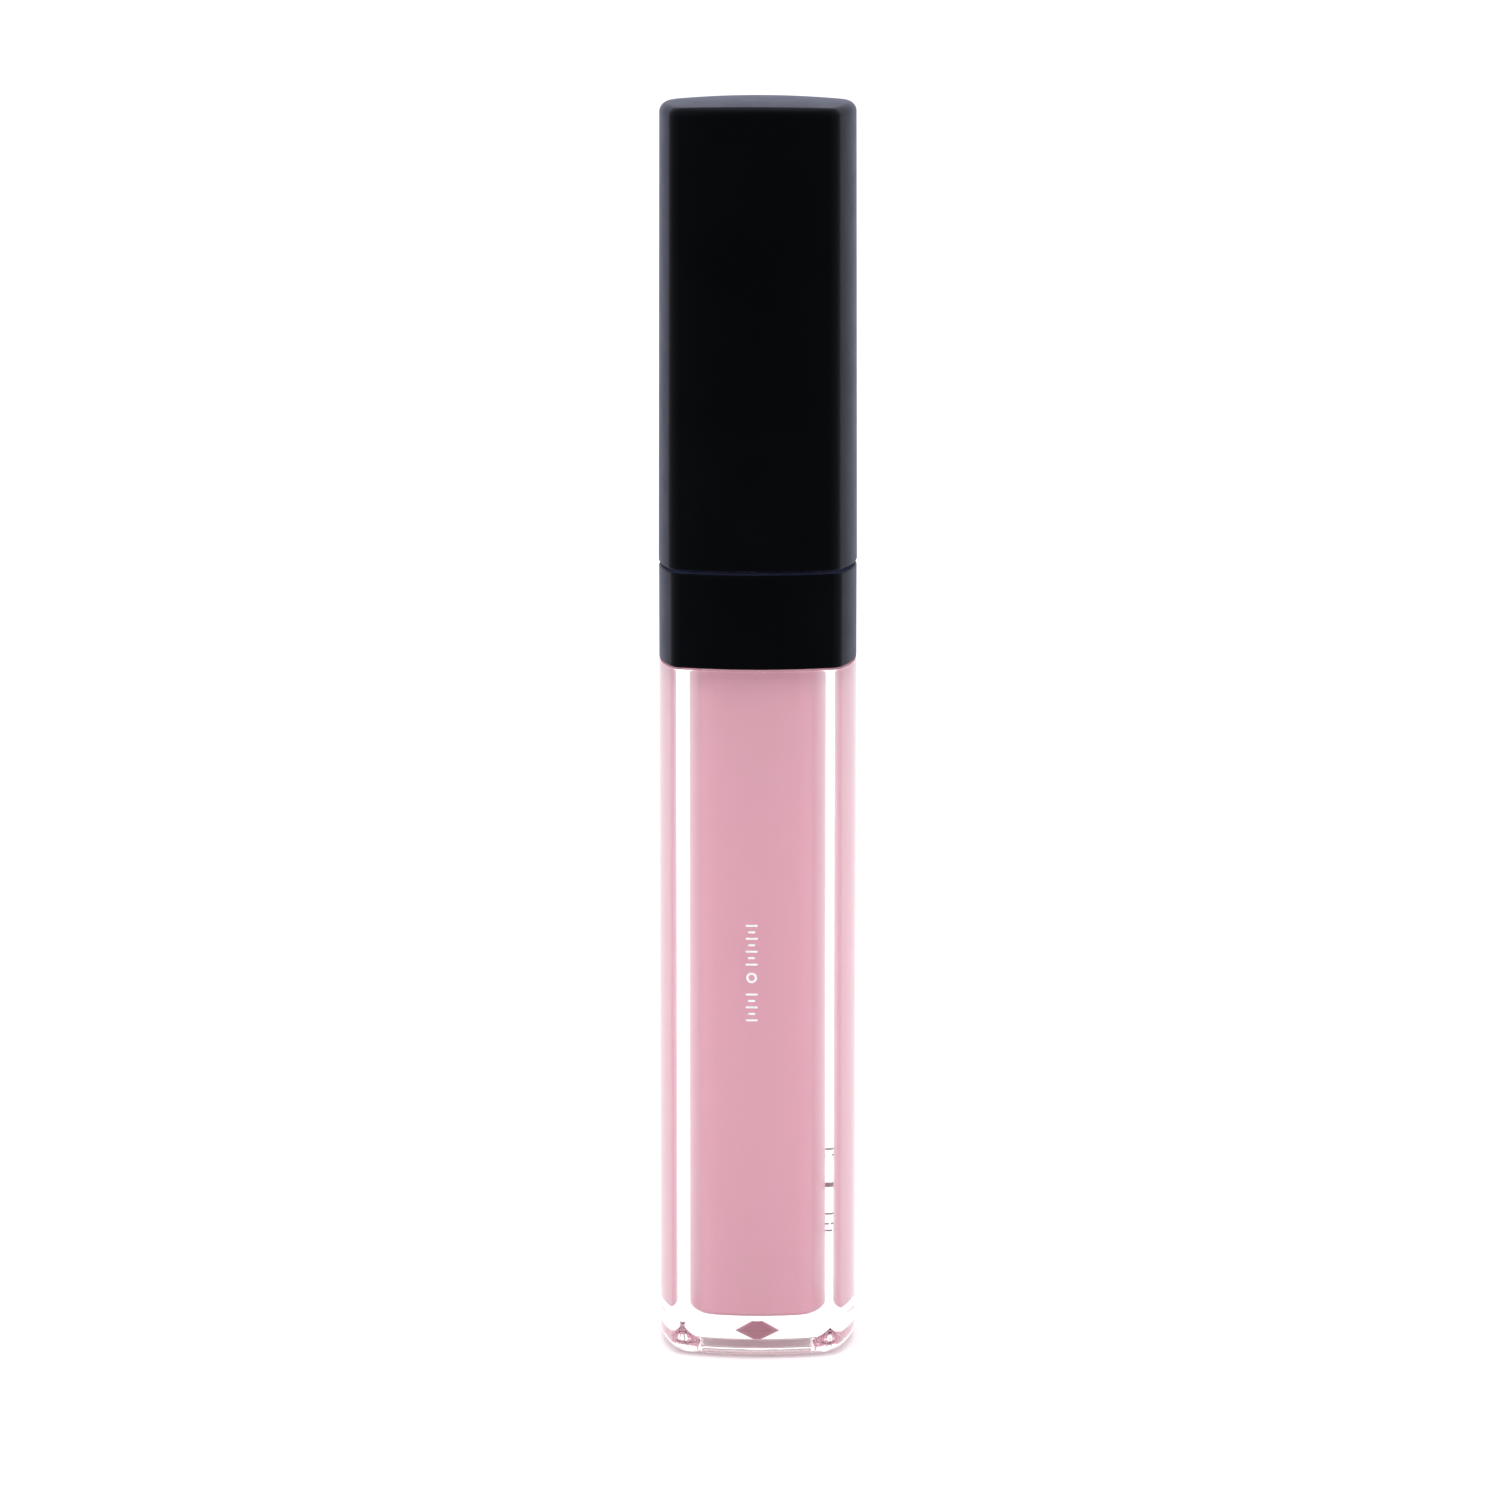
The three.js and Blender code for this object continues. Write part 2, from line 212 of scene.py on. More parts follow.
def turned(name, profile, material, segments=96, closed=False, shape=None):
    """Solid of revolution from [(r, z, radius)]; shape(angle, r, z) may move the points."""
    pts = rounded([("rd",) + tuple(p) for p in profile], closed=closed, support=0.03)
    ang = 2 * np.pi * np.arange(segments) / segments
    rings = []
    for _, r, z in pts:
        if r < 1e-6:
            continue
        x, y, zz = r * np.cos(ang), r * np.sin(ang), np.full(segments, z)
        if shape:
            x, y, zz = shape(ang, r, z)
        rings.append(np.c_[x, y, zz])
    verts, faces = skin(rings, loop=closed)
    return add_object(name, verts, faces, material)


# ------------------------------------------------------------------ materials
def material(name):
    m = bpy.data.materials.new(name)
    m.use_nodes = True
    nt = m.node_tree
    bsdf = nt.nodes["Principled BSDF"]
    coord = nt.nodes.new("ShaderNodeTexCoord")
    return m, nt, bsdf, coord.outputs["Object"]


def noise(nt, vec, scale, detail=3.0, rough=0.55, stretch=None, distortion=0.0):
    if stretch:
        mp = nt.nodes.new("ShaderNodeMapping")
        mp.inputs["Scale"].default_value = stretch
        nt.links.new(vec, mp.inputs["Vector"])
        vec = mp.outputs["Vector"]
    n = nt.nodes.new("ShaderNodeTexNoise")
    n.inputs["Scale"].default_value = scale
    n.inputs["Detail"].default_value = detail
    n.inputs["Roughness"].default_value = rough
    n.inputs["Distortion"].default_value = distortion
    nt.links.new(vec, n.inputs["Vector"])
    return n.outputs["Fac"]


def ramp(nt, fac, stops):
    r = nt.nodes.new("ShaderNodeValToRGB")
    el = r.color_ramp.elements
    el[0].position, el[0].color = stops[0][0], (*stops[0][1], 1)
    el[1].position, el[1].color = stops[-1][0], (*stops[-1][1], 1)
    for p, c in stops[1:-1]:
        e = el.new(p)
        e.color = (*c, 1)
    nt.links.new(fac, r.inputs["Fac"])
    return r.outputs["Color"]


def spread(nt, fac, low, high):
    r = nt.nodes.new("ShaderNodeMapRange")
    r.inputs["From Min"].default_value = 0.25
    r.inputs["From Max"].default_value = 0.75
    r.inputs["To Min"].default_value = low
    r.inputs["To Max"].default_value = high
    nt.links.new(fac, r.inputs["Value"])
    return r.outputs["Result"]


def bump(nt, bsdf, height, distance, strength=1.0):
    b = nt.nodes.new("ShaderNodeBump")
    b.inputs["Distance"].default_value = distance
    b.inputs["Strength"].default_value = strength
    nt.links.new(height, b.inputs["Height"])
    nt.links.new(b.outputs["Normal"], bsdf.inputs["Normal"])


def soft_touch_black():
    m, nt, b, v = material("soft_touch_black")
    cloud = noise(nt, v, 90, 3)
    nt.links.new(ramp(nt, cloud, [(0.3, (0.0009, 0.0010, 0.0013)), (0.7, (0.0015, 0.0016, 0.0020))]), b.inputs["Base Color"])
    nt.links.new(spread(nt, noise(nt, v, 420, 4), 0.36, 0.43), b.inputs["Roughness"])
    b.inputs["IOR"].default_value = 1.11
    b.inputs["Specular Tint"].default_value = (0.72, 0.84, 1.0, 1)
    b.inputs["Sheen Weight"].default_value = 0.17
    b.inputs["Sheen Roughness"].default_value = 0.30
    b.inputs["Sheen Tint"].default_value = (0.38, 0.46, 1.0, 1)
    bump(nt, b, noise(nt, v, 9000, 2, 0.6), 0.000012, 0.6)
    return m


def clear_wall():
    m, nt, b, v = material("clear_wall")
    nt.links.new(ramp(nt, noise(nt, v, 60, 2), [(0.3, (0.985, 0.988, 0.993)), (0.7, (0.995, 0.996, 0.998))]), b.inputs["Base Color"])
    b.inputs["Transmission Weight"].default_value = 1.0
    b.inputs["IOR"].default_value = 1.56
    nt.links.new(spread(nt, noise(nt, v, 300, 3), 0.0, 0.012), b.inputs["Roughness"])
    return m


def pink_gloss():
    m, nt, b, v = material("pink_gloss")
    swirl = noise(nt, v, 140, 4, 0.5, stretch=(1, 1, 0.45), distortion=1.2)
    nt.links.new(ramp(nt, swirl, [(0.3, (0.893, 0.452, 0.556)), (0.7, (0.899, 0.460, 0.565))]), b.inputs["Base Color"])
    nt.links.new(spread(nt, noise(nt, v, 200, 2), 0.28, 0.30), b.inputs["Roughness"])
    b.inputs["IOR"].default_value = 1.46
    return m


def shaded_gloss_film():
    """The same gloss as a thin coat in the open air, with painted shade: its base colour is darker than pink_gloss's,
    as the gloss looks dimmed behind the bottle wall.
    """
    m, nt, b, v = material("shaded_gloss_film")
    # painted shade: base colour darker than pink_gloss's, the dimmer look of the gloss behind the bottle wall
    nt.links.new(ramp(nt, noise(nt, v, 500, 3), [(0.3, (0.70, 0.33, 0.41)), (0.7, (0.79, 0.42, 0.50))]), b.inputs["Base Color"])
    nt.links.new(spread(nt, noise(nt, v, 700, 2), 0.08, 0.16), b.inputs["Roughness"])
    b.inputs["IOR"].default_value = 1.46
    b.inputs["Subsurface Weight"].default_value = 0.3
    b.inputs["Subsurface Radius"].default_value = (1.0, 0.45, 0.5)
    b.inputs["Subsurface Scale"].default_value = 0.0005
    bump(nt, b, noise(nt, v, 1500, 2), 0.00002, 0.5)
    return m


def natural_insert():
    m, nt, b, v = material("natural_insert")
    nt.links.new(ramp(nt, noise(nt, v, 200, 3), [(0.3, (0.80, 0.80, 0.77)), (0.7, (0.87, 0.87, 0.84))]), b.inputs["Base Color"])
    nt.links.new(spread(nt, noise(nt, v, 900, 3), 0.34, 0.46), b.inputs["Roughness"])
    b.inputs["Subsurface Weight"].default_value = 0.35
    b.inputs["Subsurface Radius"].default_value = (1.0, 0.9, 0.75)
    b.inputs["Subsurface Scale"].default_value = 0.0008
    bump(nt, b, noise(nt, v, 3000, 2), 0.00001, 0.5)
    return m


def black_insert():
    m, nt, b, v = material("black_insert")
    nt.links.new(ramp(nt, noise(nt, v, 150, 3), [(0.3, (0.010, 0.010, 0.011)), (0.7, (0.016, 0.016, 0.018))]), b.inputs["Base Color"])
    nt.links.new(spread(nt, noise(nt, v, 700, 4), 0.24, 0.36), b.inputs["Roughness"])
    bump(nt, b, noise(nt, v, 2500, 3, 0.5, stretch=(1, 1, 0.2)), 0.000012, 0.5)
    return m


def foam_seal():
    m, nt, b, v = material("foam_seal")
    vor = nt.nodes.new("ShaderNodeTexVoronoi")
    vor.inputs["Scale"].default_value = 5200
    nt.links.new(v, vor.inputs["Vector"])
    # painted shade in the pores: the colour is darkest where the Voronoi distance is small, at the bottom of each pit
    # of the bump below
    nt.links.new(ramp(nt, vor.outputs["Distance"], [(0.1, (0.66, 0.66, 0.64)), (0.6, (0.84, 0.84, 0.82))]), b.inputs["Base Color"])
    b.inputs["Roughness"].default_value = 0.85
    bump(nt, b, vor.outputs["Distance"], 0.00004, 0.8)
    return m


def flock(name, low, high, wet):
    m, nt, b, v = material(name)
    nt.links.new(ramp(nt, noise(nt, v, 1600, 4, 0.7), [(0.3, low), (0.7, high)]), b.inputs["Base Color"])
    nt.links.new(spread(nt, noise(nt, v, 900, 3), wet - 0.1, wet + 0.1), b.inputs["Roughness"])
    b.inputs["Sheen Weight"].default_value = 0.5
    b.inputs["Sheen Roughness"].default_value = 0.4
    b.inputs["Sheen Tint"].default_value = (1.0, 0.86, 0.9, 1)
    bump(nt, b, noise(nt, v, 8000, 2, 0.7), 0.00006, 0.8)
    return m


def foil_print(name, low, high, metal, rough):
    m, nt, b, v = material(name)
    nt.links.new(ramp(nt, noise(nt, v, 2600, 3, 0.7), [(0.35, low), (0.65, high)]), b.inputs["Base Color"])
    nt.links.new(spread(nt, noise(nt, v, 4000, 2), rough - 0.06, rough + 0.08), b.inputs["Roughness"])
    b.inputs["Metallic"].default_value = metal
    return m


def pale_floor():
    m, nt, b, v = material("pale_floor")
    plain = ramp(nt, noise(nt, v, 7, 3), [(0.3, (0.945, 0.945, 0.95)), (0.7, (0.955, 0.955, 0.96))])
    nt.links.new(plain, b.inputs["Base Color"])
    b.inputs["Roughness"].default_value = 0.9
    b.inputs["Specular IOR Level"].default_value = 0.1
    return m


BLACK, CLEAR, PINK, FILM = soft_touch_black(), clear_wall(), pink_gloss(), shaded_gloss_film()
NATURAL, INSERT, FOAM = natural_insert(), black_insert(), foam_seal()
FLOCK = flock("flock", (0.66, 0.34, 0.42), (0.86, 0.56, 0.63), 0.55)
FOIL = foil_print("foil_print", (0.80, 0.80, 0.82), (0.95, 0.95, 0.96), 0.25, 0.35)
GREY_INK = foil_print("grey_ink", (0.44, 0.42, 0.45), (0.54, 0.52, 0.55), 0.0, 0.5)

# ------------------------------------------------------------------ bottle and its contents
thread_zone = [("neck", 5.0, z) for z in np.arange(69.9, 76.61, 0.13)]
narrowing = []
for u in np.linspace(0, 1, 13)[1:-1]:
    s = u * u * (3 - 2 * u)
    narrowing.append((lambda a, z, s=s: (1 - s) * cavity_section(4.8) + s * circle(3.95), 4.6, 62.9 - 2.8 * (1 - u)))
def recess(a, z):
    if a < 5.2:
        return square(5.2, 18.0, 1.0) * (a / 5.2)
    return square(a, 18.0, 1.0)


SHOULDER = 59.72
bottle = loft("clear_bottle", [
    ("rd", 0.12, 1.9), ("rd", 0.35, 1.9, 0.12), ("rd", 1.7, 1.1, 0.12), (recess, 2.4, 1.1), (recess, 3.8, 1.1), (recess, 5.2, 1.1, 0.1), (recess, 5.2, 0.0, 0.08),
    ("body", 5.7, 0.0), ("body", 8.5, 0.0, 2.5), ("body", 8.5, SHOULDER, 0.16), ("plug", 7.0, SHOULDER, 0.1), ("plug", 7.0, 62.2, 0.4),
    ("rd", 5.9, 62.2, 0.2), ("rd", 5.9, 65.2, 0.3), ("rd", 6.42, 65.72, 0.2), ("rd", 6.42, 65.94, 0.2), ("rd", 5.9, 66.5, 0.3),
    ("rd", 5.9, 68.05, 0.3), ("rd", 5.0, 68.05, 0.2), *thread_zone, ("rd", 5.0, 78.8, 0.3), ("rd", 3.95, 78.8, 0.2),
    ("rd", 3.95, 62.95), *reversed(narrowing), ("cav", 4.8, 60.1), ("cav", 4.8, 60.0), ("cav", 4.8, 3.1, 0.3), ("cav", 0.0, 3.1),
], CLEAR)
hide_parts("bottle")
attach(bottle, "container")

WET = 0.03   # the liquid wets the wall, so its skin lies just inside the plastic


def wet_cavity(a, z):
    return cavity_section(a - WET) * (a / (a - WET))


wet_narrowing = []
for u in np.linspace(0, 1, 13)[1:-1]:
    s = u * u * (3 - 2 * u)
    wet_narrowing.append((lambda a, z, s=s: ((1 - s) * cavity_section(4.8) + s * circle(3.95)) * 1.006, 4.6, 62.9 - 2.8 * (1 - u)))
gloss = loft("gloss", [
    (wet_cavity, 0.0, 3.07), (wet_cavity, 4.83, 3.07, 0.3), (wet_cavity, 4.83, 60.0), (wet_cavity, 4.83, 60.1), *wet_narrowing,
    ("rd", 3.97, 62.95), ("rd", 3.97, 65.75, 0.05), ("rd", 3.1, 65.4, 0.5), ("rd", 2.3, 65.3, 0.2), ("rd", 2.3, 5.6, 0.6), ("rd", 0.0, 5.6),
], PINK)
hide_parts("gloss_fill")
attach(gloss, "container")

# plain marks printed on the front and back faces, a few hundredths thick
def face_y(x, a=8.5, R=18.0):
    return -(a - R + math.sqrt(R * R - x * x))


def print_marks(name, shapes, mat, side=-1, thickness=0.02, sink=0.004):
    """Flat printed shapes on a bowed face: each is an outline [(x, z)], or a pair of outlines for a ring. side -1 is the front."""
    verts, faces = [], []

    def put(x, z, lift):
        y = face_y(x) - lift
        verts.append((-x * MM, -y * MM, z * MM) if side > 0 else (x * MM, y * MM, z * MM))
        return len(verts) - 1

    for shape in shapes:
        rings = shape if isinstance(shape[0][0], tuple) else [shape]
        n = len(rings[0])
        top = [[put(x, z, thickness) for x, z in r] for r in rings]
        low = [[put(x, z, -sink) for x, z in r] for r in rings]
        if len(rings) == 1:
            faces.append(tuple(top[0]))
            faces.append(tuple(reversed(low[0])))
            for i in range(n):
                j = (i + 1) % n
                faces.append((low[0][i], low[0][j], top[0][j], top[0][i]))
        else:
            for i in range(n):
                j = (i + 1) % n
                faces.append((top[0][i], top[0][j], top[1][j], top[1][i]))
                faces.append((low[1][i], low[1][j], low[0][j], low[0][i]))
                faces.append((low[0][i], low[0][j], top[0][j], top[0][i]))
                faces.append((top[1][i], top[1][j], low[1][j], low[1][i]))
    return add_object(name, verts, faces, mat, smooth=False)


def bar(x, z, w, h):
    """Rounded bar, anticlockwise as seen from the front."""
    r = min(w, h) / 2
    dx, dz = w / 2 - r, h / 2 - r
    pts = []
    for cx, cz, a0 in ((dx, dz, 0), (-dx, dz, 90), (-dx, -dz, 180), (dx, -dz, 270)):
        for k in range(5):
            t = math.radians(a0 + 90 * k / 4)
            pts.append((x + cx + r * math.cos(t), z + cz + r * math.sin(t)))
    clean = [pts[0]]
    for q in pts[1:]:
        if math.hypot(q[0] - clean[-1][0], q[1] - clean[-1][1]) > 1e-6:
            clean.append(q)
    if math.hypot(clean[0][0] - clean[-1][0], clean[0][1] - clean[-1][1]) < 1e-6:
        clean.pop()
    return clean


def hoop(x, z, r_out, r_in, n=40):
    t = [2 * math.pi * k / n for k in range(n)]
    return [[(x + r * math.cos(a), z + r * math.sin(a)) for a in t] for r in (r_out, r_in)]


MARK_X, MARK_Z = -0.35, 33.35
shapes = [hoop(MARK_X, MARK_Z, 0.46, 0.27)]
for k, w in enumerate((1.04, 0.62, 1.04, 0.62, 1.04, 0.62, 1.04)):
    shapes.append(bar(MARK_X, MARK_Z + 1.15 + 0.56 * k, w, 0.17))
for k, w in enumerate((1.04, 0.62, 1.04, 0.62, 1.04)):
    shapes.append(bar(MARK_X, MARK_Z - 1.45 - 0.56 * k, w, 0.17))
front_mark = print_marks("front_mark", shapes, FOIL)
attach(front_mark, "container")

shapes = []
for z, h, widths in ((15.9, 0.16, (1.5, 2.2, 1.1)), (15.35, 0.16, (2.3, 1.2, 1.5)), (12.7, 0.42, (1.9, 2.9)), (10.1, 0.16, (1.2, 2.0, 1.6)),
                     (9.2, 0.16, (2.1, 1.4, 1.3)), (8.6, 0.16, (1.4, 1.1))):
    x = -6.6           # on the half of the back that shows through the right of the front
    for w in widths:
        shapes.append(bar(x + w / 2, z, w, h))
        x += w + 0.4
back_marks = print_marks("back_marks", shapes, GREY_INK, side=1)
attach(back_marks, "container")

wiper = turned("wiper_insert", [
    (2.9, 80.0, 0.12), (2.75, 78.0, 0.6), (2.2, 69.0, 0.6), (2.1, 68.2, 0.3), (2.1, 66.4, 0.1), (2.75, 66.4, 0.15), (3.0, 67.6, 0.5),
    (3.65, 70.2, 0.5), (3.65, 72.4, 0.1), (3.85, 72.8, 0.1), (3.85, 72.95, 0.1), (3.65, 73.5, 0.1), (3.65, 75.2, 0.1),
    (3.85, 75.6, 0.1), (3.85, 75.75, 0.1), (3.65, 76.3, 0.1), (3.65, 79.0, 0.1), (4.85, 79.0, 0.12), (4.85, 80.0, 0.2),
], NATURAL, closed=True)
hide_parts("wiper")
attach(wiper, "container")

collar = loft("collar_sleeve", [
    ("body", 8.46, 59.85, 0.14), ("body", 8.46, 67.9, 0.16), ("rd", 6.2, 67.9, 0.15), ("rd", 6.2, 66.8, 0.1),
    ("plug", 7.35, 66.8, 0.2), ("plug", 7.35, 59.85, 0.1),
], BLACK, closed=True)
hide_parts("collar")
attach(collar, "container")

# ------------------------------------------------------------------ cap assembly
CAP_TOP, CROWN = 107.6, 0.0125


def crowned(xy, z):
    k = np.clip((z - 106.2) / 0.6, 0, 1)
    return z - k * CROWN * (xy[:, 0] ** 2 + xy[:, 1] ** 2) / 2


def cap_section(a, z):
    if a < 7.4:
        return square(7.4) * (a / 7.4)
    return square(a)


def shell_with_bore(name, outer, bore, mat, z_of=None):
    """Outer skin from the rim up to the closed top, and the bore from the rim up to its ceiling, as one closed surface."""
    rings = []
    for kind, a, z in rounded(bore, closed=False):
        if a < 1e-6:
            continue
        rings.append(np.c_[KINDS[kind](a, z), np.full(len(REF), z)])
    rings = rings[::-1] if rings[0][0, 2] < rings[-1][0, 2] else rings
    for kind, a, z in rounded(outer, closed=False):
        if a < 1e-6:
            continue
        xy = kind(a, z) if callable(kind) else KINDS[kind](a, z)
        zz = np.full(len(xy), z)
        rings.append(np.c_[xy, z_of(xy, zz) if z_of else zz])
    verts, faces = skin(rings)
    return add_object(name, verts, faces, mat)


cap = shell_with_bore(
    "cap_outer",
    [("rd", 7.42, 68.2), (cap_section, 8.48, 68.2, 0.16), (cap_section, 8.41, 88.0), (cap_section, 8.34, CAP_TOP, 0.75),
     (cap_section, 6.4, CAP_TOP), (cap_section, 5.2, CAP_TOP), (cap_section, 4.0, CAP_TOP), (cap_section, 2.8, CAP_TOP),
     (cap_section, 1.6, CAP_TOP), (cap_section, 0.6, CAP_TOP)],
    [("rd", 0.0, 105.4), ("rd", 6.9, 105.4, 0.8), ("rd", 6.9, 83.3, 0.15), ("rd", 7.4, 83.3, 0.1), ("rd", 7.4, 68.32), ("rd", 7.41, 68.2)],
    BLACK, z_of=crowned)
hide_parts("cap_shell")
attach(cap, "cap")

nut_zone = [("nut", 6.15, z) for z in np.arange(78.1, 71.3, -0.13)]
rib_zone = [("rib", 6.75, z) for z in (69.65, 69.75, 69.85, 69.95, 75.0, 81.2, 81.3, 81.4, 81.5, 81.55)]
liner = shell_with_bore(
    "inner_cap_liner",
    [("rd", 6.75, 68.8, 0.12), *rib_zone, ("rd", 6.75, 82.0, 0.1), ("rd", 7.12, 82.35, 0.1), ("rd", 7.12, 83.0, 0.15), ("rd", 3.2, 83.0, 0.3),
     ("rd", 3.0, 91.0, 0.4), ("rd", 0.6, 91.0)],
    [("rd", 0.0, 89.3), ("rd", 1.9, 89.3, 0.2), ("rd", 1.9, 81.5, 0.15), ("rd", 6.15, 81.5, 0.25), *nut_zone, ("rd", 6.15, 68.8, 0.12), ("rd", 6.4, 68.8)],
    INSERT)
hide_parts("inner_cap")
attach(liner, "cap")

washer = turned("seal_ring", [(2.4, 80.25, 0.1), (5.85, 80.25, 0.15), (5.85, 81.2, 0.15), (2.4, 81.2, 0.1)], FOAM, closed=True)
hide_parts("seal_washer")
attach(washer, "seal")

rod = turned("wand_stem", [
    (0.0, 31.0), (1.15, 31.0, 0.1), (1.15, 26.0, 0.08), (1.6, 26.0, 0.18), (1.6, 89.0, 0.3), (0.0, 89.0),
], INSERT, segments=64)
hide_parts("wand_rod")
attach(rod, "cap")


def oval_stack(name, stack, mat, segments=64, cut=None):
    """Closed stack of ovals [(z, rx, ry)], with four more rings between each two given ones, on straight lines between
    them.
    """
    zs = np.array([s[0] for s in stack], float)
    t = np.linspace(0, len(zs) - 1, (len(zs) - 1) * 5 + 1)
    k = np.arange(len(zs))
    zz, rx, ry = (np.interp(t, k, [s[i] for s in stack]) for i in range(3))
    ang = 2 * np.pi * np.arange(segments) / segments
    rings = []
    for z, a, b in zip(zz, rx, ry):
        x, y, h = a * np.cos(ang), b * np.sin(ang), np.full(segments, z)
        if cut:
            x, y, h = cut(x, y, h)
        rings.append(np.c_[x, y, h])
    verts, faces = skin(rings)
    return add_object(name, verts, faces, mat)


core = oval_stack("applicator_stem", [
    (13.8, 0.05, 0.05), (13.8, 0.6, 0.4), (14.0, 0.85, 0.55), (14.6, 1.0, 0.68), (23.4, 1.0, 0.68), (24.6, 1.15, 1.15), (25.7, 1.15, 1.15),
    (25.75, 0.85, 0.85), (30.6, 0.85, 0.85), (30.7, 0.7, 0.7), (30.7, 0.05, 0.05),
], NATURAL)
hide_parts("applicator_core")
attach(core, "cap")

SLOPE = 2.45 / 6.5


def slant(x, y, z):
    """Flattens the tip's front: points in front of the slanted face move back onto it."""
    limit = -0.2 - SLOPE * (z - 9.6)
    soft = 0.12
    d = limit - y
    y2 = np.where(d > -soft, y + np.where(d > soft, d, (d + soft) ** 2 / (4 * soft)), y)
    return x, y2, z


tip_stack = [
    (6.62, 0.05, 0.05), (6.66, 0.4, 0.28), (6.85, 0.85, 0.62), (7.2, 1.2, 0.92), (7.8, 1.5, 1.14), (8.8, 1.72, 1.3), (11.0, 1.82, 1.42),
    (16.0, 1.83, 1.44), (21.0, 1.82, 1.44), (22.6, 1.78, 1.44), (23.5, 1.66, 1.42), (23.9, 1.5, 1.38), (24.0, 1.36, 1.3), (24.0, 1.17, 1.17),
    (23.4, 1.02, 0.72), (14.6, 1.02, 0.7), (14.0, 0.87, 0.57), (13.75, 0.6, 0.4), (13.75, 0.05, 0.05),
]
flocked = oval_stack("doe_foot", tip_stack, FLOCK, segments=96, cut=lambda x, y, z: slant(x, y, z) if z[0] < 13.7 else (x, y, z))
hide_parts("applicator_flock")
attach(flocked, "cap")

# a coat of gloss over the tip and the foot of the stem, thicker in lumps, with a ragged top edge
SKIN = [(6.66, 0.4, 0.28), (6.85, 0.85, 0.62), (7.2, 1.2, 0.92), (7.8, 1.5, 1.14), (8.8, 1.72, 1.3), (11.0, 1.82, 1.42), (16.0, 1.83, 1.44),
        (21.0, 1.82, 1.44), (22.6, 1.78, 1.44), (23.5, 1.66, 1.44), (24.0, 1.61, 1.5), (24.6, 1.6, 1.6), (41.0, 1.6, 1.6)]
seg = 72
film_angle = 2 * np.pi * np.arange(seg) / seg
lumps = rng.uniform(0, 2 * np.pi, (6, 2))


def film_ring(z, out, top):
    k = [q[0] for q in SKIN]
    rx, ry = np.interp(z, k, [q[1] for q in SKIN]), np.interp(z, k, [q[2] for q in SKIN])
    wave = sum(np.sin((i + 1) * film_angle + lumps[i, 0] + z * (0.5 + 0.23 * i)) for i in range(6)) / 6
    grow = np.clip((top - z) / 3.0, 0, 1)
    t = out * (0.055 + 0.04 * wave) * grow + (0 if out else -0.03)
    h = z + (0.9 * np.sin(2 * film_angle + 1.1) + 0.5 * np.sin(5 * film_angle)) * np.clip((z - 30) / 9, 0, 1)
    x, y = (rx + t) * np.cos(film_angle), (ry + t) * np.sin(film_angle)
    if z < 13.7:
        limit = -0.2 - SLOPE * (h - 9.6) - (0.06 if out else -0.03)
        y = np.maximum(y, limit)
    return np.c_[x, y, h]


levels = np.concatenate([np.linspace(6.66, 8.8, 12), np.linspace(9.2, 24.6, 44), np.linspace(25.2, 39.0, 30)])
rings = [film_ring(z, 0, 39.0) for z in levels[::-1]] + [film_ring(z, 1, 39.0) for z in levels]
verts, faces = skin(rings, loop=True)
film = add_object("gloss_coat", verts, faces, FILM)
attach(film, "cap")

# short stiff fibres of the flock, matted by the gloss
verts, faces = [], []
for _ in range(3000):
    z, a = rng.uniform(6.9, 23.7), rng.uniform(0, 2 * np.pi)
    k = [q[0] for q in SKIN]
    rx, ry = np.interp(z, k, [q[1] for q in SKIN]), np.interp(z, k, [q[2] for q in SKIN])
    n = Vector((math.cos(a) / rx, math.sin(a) / ry, -0.5 if z < 8 else rng.uniform(-0.35, -0.05))).normalized()
    x, y = rx * math.cos(a), ry * math.sin(a)
    limit = -0.2 - SLOPE * (z - 9.6)
    if z < 13.7 and y < limit:
        y = limit
        n = Vector((0, -1, -SLOPE)).normalized()
    base = Vector((x, y, z)) - 0.05 * n
    n = (n + Vector(rng.uniform(-0.3, 0.3, 3))).normalized()
    u = n.orthogonal().normalized()
    w = n.cross(u)
    tip = base + n * rng.uniform(0.15, 0.24)
    if math.hypot(tip.x, tip.y) > 2.02:
        continue
    c = len(verts)
    verts += [(base + 0.028 * (math.cos(t) * u + math.sin(t) * w)) * MM for t in (0, 2 * math.pi / 3, 4 * math.pi / 3)] + [tip * MM]
    faces += [(c, c + 1, c + 3), (c + 1, c + 2, c + 3), (c + 2, c, c + 3), (c + 2, c + 1, c)]
fibres = add_object("flock_fibres", verts, faces, FLOCK, smooth=False)
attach(fibres, "cap")

# the closed cap stops a little short of square with the bottle
CAP_SEAT_ANGLE = -0.024
for piece in (cap, liner, washer, rod, core, flocked, film, fibres):
    piece.data.transform(Matrix.Rotation(CAP_SEAT_ANGLE, 4, "Z"))

# ------------------------------------------------------------------ camera, matched to the view: D, height, pitch and azimuth from the outlines
CAM = dict(D=536.9256, zc=141.5039, pitch=0.1659, f=6330.1361, az=-0.022, tx=0.6769)


def world_of(xr, yr, z):
    ca, sa = math.cos(CAM["az"]), math.sin(CAM["az"])
    return Vector((xr * ca + yr * sa, -xr * sa + yr * ca, z))


cam_data = bpy.data.cameras.new("camera")
cam_data.sensor_width = 36.0
cam_data.lens = CAM["f"] / 1500 * 36.0
cam_data.clip_start, cam_data.clip_end = 0.01, 50
camera = bpy.data.objects.new("camera", cam_data)
bpy.context.scene.collection.objects.link(camera)
p = CAM["pitch"]
forward = world_of(0, math.cos(p), -math.sin(p))
up = world_of(0, math.sin(p), math.cos(p))
right = forward.cross(up)
place = world_of(-CAM["tx"], -CAM["D"], CAM["zc"]) * MM
camera.matrix_world = Matrix((
    (right.x, up.x, -forward.x, place.x), (right.y, up.y, -forward.y, place.y), (right.z, up.z, -forward.z, place.z), (0, 0, 0, 1)))
bpy.context.scene.camera = camera

